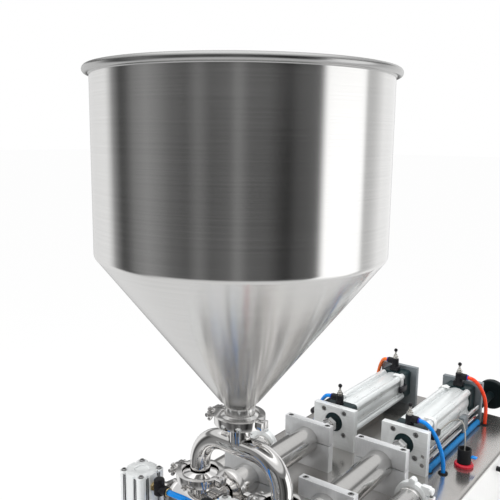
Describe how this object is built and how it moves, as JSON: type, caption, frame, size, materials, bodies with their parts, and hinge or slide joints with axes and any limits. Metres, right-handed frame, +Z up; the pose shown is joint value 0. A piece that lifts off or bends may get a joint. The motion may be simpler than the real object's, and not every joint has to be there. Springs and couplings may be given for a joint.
{
  "type": "piston filling machine",
  "caption": "Bench filling machine: a conical hopper feeds piston filling lines with rotary valves, air drive cylinders and nozzles on a sheet cabinet.",
  "frame": {"origin": "middle of the machine's footprint on the floor, at the underside of the feet", "axes": "+Z up, +X to the machine's right, the nozzles at the -Y end and the handwheels at the +Y end"},
  "size_m": [0.488, 1.052, 1.0742],
  "materials": {
    "air_fittings": "black polymer and nickel-plated brass",
    "air_hose_front_left": "blue air hose",
    "air_hose_front_right": "blue air hose",
    "air_hose_rear_left": "red air hose",
    "air_hose_rear_right": "red air hose",
    "air_regulator": "cast regulator body",
    "barrel_switches": "steel band with a dark switch",
    "cabinet": "mirror-polished stainless sheet",
    "clamp_gaskets": "white silicone",
    "clamp_wing_nuts": "cast stainless",
    "cylinder_feet": "anodised aluminium",
    "drive_barrels": "clear anodised extrusion",
    "drive_end_caps": "dark anodised",
    "end_plates": "anodised aluminium",
    "feet": "black rubber foot on a steel stud",
    "guide_rods": "ground rod",
    "hopper": "brushed stainless sheet",
    "hopper_clamp": "cast stainless",
    "hose_grommets": "black rubber",
    "line_clamps": "cast stainless",
    "manifold": "polished stainless tube",
    "mode_knob": "black selector",
    "nozzle_actuators": "clear anodised extrusion",
    "nozzle_bodies": "polished stainless",
    "nozzle_hose_left": "blue air hose",
    "nozzle_hose_right": "blue air hose",
    "nozzle_plunger_left": "ground stainless",
    "nozzle_plunger_right": "ground stainless",
    "piston_rod_left": "chromed rod",
    "piston_rod_right": "chromed rod",
    "product_piston_left": "white polymer piston",
    "product_piston_right": "white polymer piston",
    "product_tubes": "polished tube",
    "regulator_knob": "black ribbed knob",
    "sensor_gland": "black sleeve with a red foot ring",
    "service_door": "brushed stainless sheet",
    "side_handles": "black moulded handle",
    "socket_screws": "steel screws",
    "stop_button": "red mushroom button",
    "stroke_screw_left": "steel screw with a black wheel",
    "stroke_screw_right": "steel screw with a black wheel",
    "supply_hose": "blue air hose",
    "switch_cable": "grey cable",
    "switch_slide_left": "anodised aluminium",
    "switch_slide_right": "anodised aluminium",
    "throttle_knob_front_left": "black knob on a nickel stem",
    "throttle_knob_front_right": "black knob on a nickel stem",
    "throttle_knob_rear_left": "black knob on a nickel stem",
    "throttle_knob_rear_right": "black knob on a nickel stem",
    "tube_caps": "anodised aluminium",
    "tube_saddles": "anodised aluminium",
    "valve_bodies": "polished stainless",
    "valve_covers": "turned stainless",
    "valve_cylinders": "rolled stainless cylinder",
    "valve_lever_left": "milled stainless",
    "valve_lever_right": "milled stainless",
    "valve_rod_left": "chromed rod",
    "valve_rod_right": "chromed rod",
    "valve_rotor_left": "ground stainless",
    "valve_rotor_right": "ground stainless"
  },
  "bodies": {
    "machine": {"cabinet": "cabinet", "feet": "feet", "side_handles": "side_handles", "air_regulator": "air_regulator", "sensor_gland": "sensor_gland", "hopper": "hopper", "hopper_clamp": "hopper_clamp", "line_clamps": "line_clamps", "clamp_wing_nuts": "clamp_wing_nuts", "clamp_gaskets": "clamp_gaskets", "manifold": "manifold", "valve_bodies": "valve_bodies", "valve_covers": "valve_covers", "valve_cylinders": "valve_cylinders", "cylinder_feet": "cylinder_feet", "product_tubes": "product_tubes", "tube_saddles": "tube_saddles", "tube_caps": "tube_caps", "drive_barrels": "drive_barrels", "drive_end_caps": "drive_end_caps", "end_plates": "end_plates", "guide_rods": "guide_rods", "air_fittings": "air_fittings", "barrel_switches": "barrel_switches", "nozzle_bodies": "nozzle_bodies", "nozzle_actuators": "nozzle_actuators", "hose_grommets": "hose_grommets", "air_hose_front_left": "air_hose_front_left", "air_hose_front_right": "air_hose_front_right", "air_hose_rear_left": "air_hose_rear_left", "air_hose_rear_right": "air_hose_rear_right", "nozzle_hose_left": "nozzle_hose_left", "nozzle_hose_right": "nozzle_hose_right", "supply_hose": "supply_hose", "switch_cable": "switch_cable", "socket_screws": "socket_screws"},
    "door": {"service_door": "service_door"},
    "stop_button": {"stop_button": "stop_button"},
    "mode_knob": {"mode_knob": "mode_knob"},
    "regulator_knob": {"regulator_knob": "regulator_knob"},
    "valve_left": {"valve_rotor_left": "valve_rotor_left", "valve_lever_left": "valve_lever_left"},
    "valve_rod_left": {"valve_rod_left": "valve_rod_left"},
    "piston_left": {"product_piston_left": "product_piston_left", "piston_rod_left": "piston_rod_left"},
    "stroke_screw_left": {"stroke_screw_left": "stroke_screw_left"},
    "switch_slide_left": {"switch_slide_left": "switch_slide_left"},
    "plunger_left": {"nozzle_plunger_left": "nozzle_plunger_left"},
    "knob_front_left": {"throttle_knob_front_left": "throttle_knob_front_left"},
    "knob_rear_left": {"throttle_knob_rear_left": "throttle_knob_rear_left"},
    "valve_right": {"valve_rotor_right": "valve_rotor_right", "valve_lever_right": "valve_lever_right"},
    "valve_rod_right": {"valve_rod_right": "valve_rod_right"},
    "piston_right": {"product_piston_right": "product_piston_right", "piston_rod_right": "piston_rod_right"},
    "stroke_screw_right": {"stroke_screw_right": "stroke_screw_right"},
    "switch_slide_right": {"switch_slide_right": "switch_slide_right"},
    "plunger_right": {"nozzle_plunger_right": "nozzle_plunger_right"},
    "knob_front_right": {"throttle_knob_front_right": "throttle_knob_front_right"},
    "knob_rear_right": {"throttle_knob_rear_right": "throttle_knob_rear_right"}
  },
  "joints": [
    {"name": "door_hinge", "type": "hinge", "parent": "machine", "child": "door", "pos_m": [-0.175, 0.47225, 0.2], "axis": [0, 0, 1], "range_deg": [0, 110]},
    {"name": "stop_press", "type": "slide", "parent": "machine", "child": "stop_button", "axis": [0, 1, 0], "range_m": [0, 0.0035]},
    {"name": "mode_turn", "type": "hinge", "parent": "machine", "child": "mode_knob", "pos_m": [-0.11, -0.39505, 0.24], "axis": [0, -1, 0], "range_deg": [-45, 45]},
    {"name": "regulator_turn", "type": "hinge", "parent": "machine", "child": "regulator_knob", "pos_m": [0.15, 0.49195, 0.27], "axis": [0, 0, 1], "range_deg": [-720, 720]},
    {"name": "valve_turn_left", "type": "hinge", "parent": "machine", "child": "valve_left", "pos_m": [-0.115, -0.31705, 0.414], "axis": [-1, 0, 0], "range_deg": [0, 90]},
    {"name": "valve_rod_slide_left", "type": "slide", "parent": "machine", "child": "valve_rod_left", "axis": [0, -1, 0], "range_m": [0, 0.0362]},
    {"name": "piston_stroke_left", "type": "slide", "parent": "machine", "child": "piston_left", "axis": [0, 1, 0], "range_m": [-0.18, 0]},
    {"name": "stroke_wheel_left", "type": "hinge", "parent": "machine", "child": "stroke_screw_left", "pos_m": [-0.1155, 0.28295, 0.398], "axis": [0, 1, 0], "range_deg": [-6840, 3240]},
    {"name": "switch_travel_left", "type": "slide", "parent": "machine", "child": "switch_slide_left", "axis": [0, 1, 0], "range_m": [-0.1525, 0.0725]},
    {"name": "plunger_lift_left", "type": "slide", "parent": "machine", "child": "plunger_left", "axis": [0, 0, 1], "range_m": [0, 0.01]},
    {"name": "throttle_turn_front_left", "type": "hinge", "parent": "machine", "child": "knob_front_left", "pos_m": [-0.077, 0.11245, 0.475], "axis": [0, 0, 1], "range_deg": [-1080, 1080]},
    {"name": "throttle_turn_rear_left", "type": "hinge", "parent": "machine", "child": "knob_rear_left", "pos_m": [-0.077, 0.37295, 0.485], "axis": [0, 0, 1], "range_deg": [-1080, 1080]},
    {"name": "valve_turn_right", "type": "hinge", "parent": "machine", "child": "valve_right", "pos_m": [0.115, -0.31705, 0.414], "axis": [-1, 0, 0], "range_deg": [0, 90]},
    {"name": "valve_rod_slide_right", "type": "slide", "parent": "machine", "child": "valve_rod_right", "axis": [0, -1, 0], "range_m": [0, 0.0362]},
    {"name": "piston_stroke_right", "type": "slide", "parent": "machine", "child": "piston_right", "axis": [0, 1, 0], "range_m": [-0.18, 0]},
    {"name": "stroke_wheel_right", "type": "hinge", "parent": "machine", "child": "stroke_screw_right", "pos_m": [0.1155, 0.28295, 0.398], "axis": [0, 1, 0], "range_deg": [-6840, 3240]},
    {"name": "switch_travel_right", "type": "slide", "parent": "machine", "child": "switch_slide_right", "axis": [0, 1, 0], "range_m": [-0.1525, 0.0725]},
    {"name": "plunger_lift_right", "type": "slide", "parent": "machine", "child": "plunger_right", "axis": [0, 0, 1], "range_m": [0, 0.01]},
    {"name": "throttle_turn_front_right", "type": "hinge", "parent": "machine", "child": "knob_front_right", "pos_m": [0.077, 0.11245, 0.475], "axis": [0, 0, 1], "range_deg": [-1080, 1080]},
    {"name": "throttle_turn_rear_right", "type": "hinge", "parent": "machine", "child": "knob_rear_right", "pos_m": [0.077, 0.37295, 0.485], "axis": [0, 0, 1], "range_deg": [-1080, 1080]}
  ],
  "couplings": [
    {"joint": "valve_rod_slide_left", "follows": "valve_turn_left", "m_per_rad": 0.023},
    {"joint": "switch_travel_left", "follows": "stroke_wheel_left", "m_per_rad": 0.0012732},
    {"joint": "valve_rod_slide_right", "follows": "valve_turn_right", "m_per_rad": 0.023},
    {"joint": "switch_travel_right", "follows": "stroke_wheel_right", "m_per_rad": 0.0012732}
  ]
}
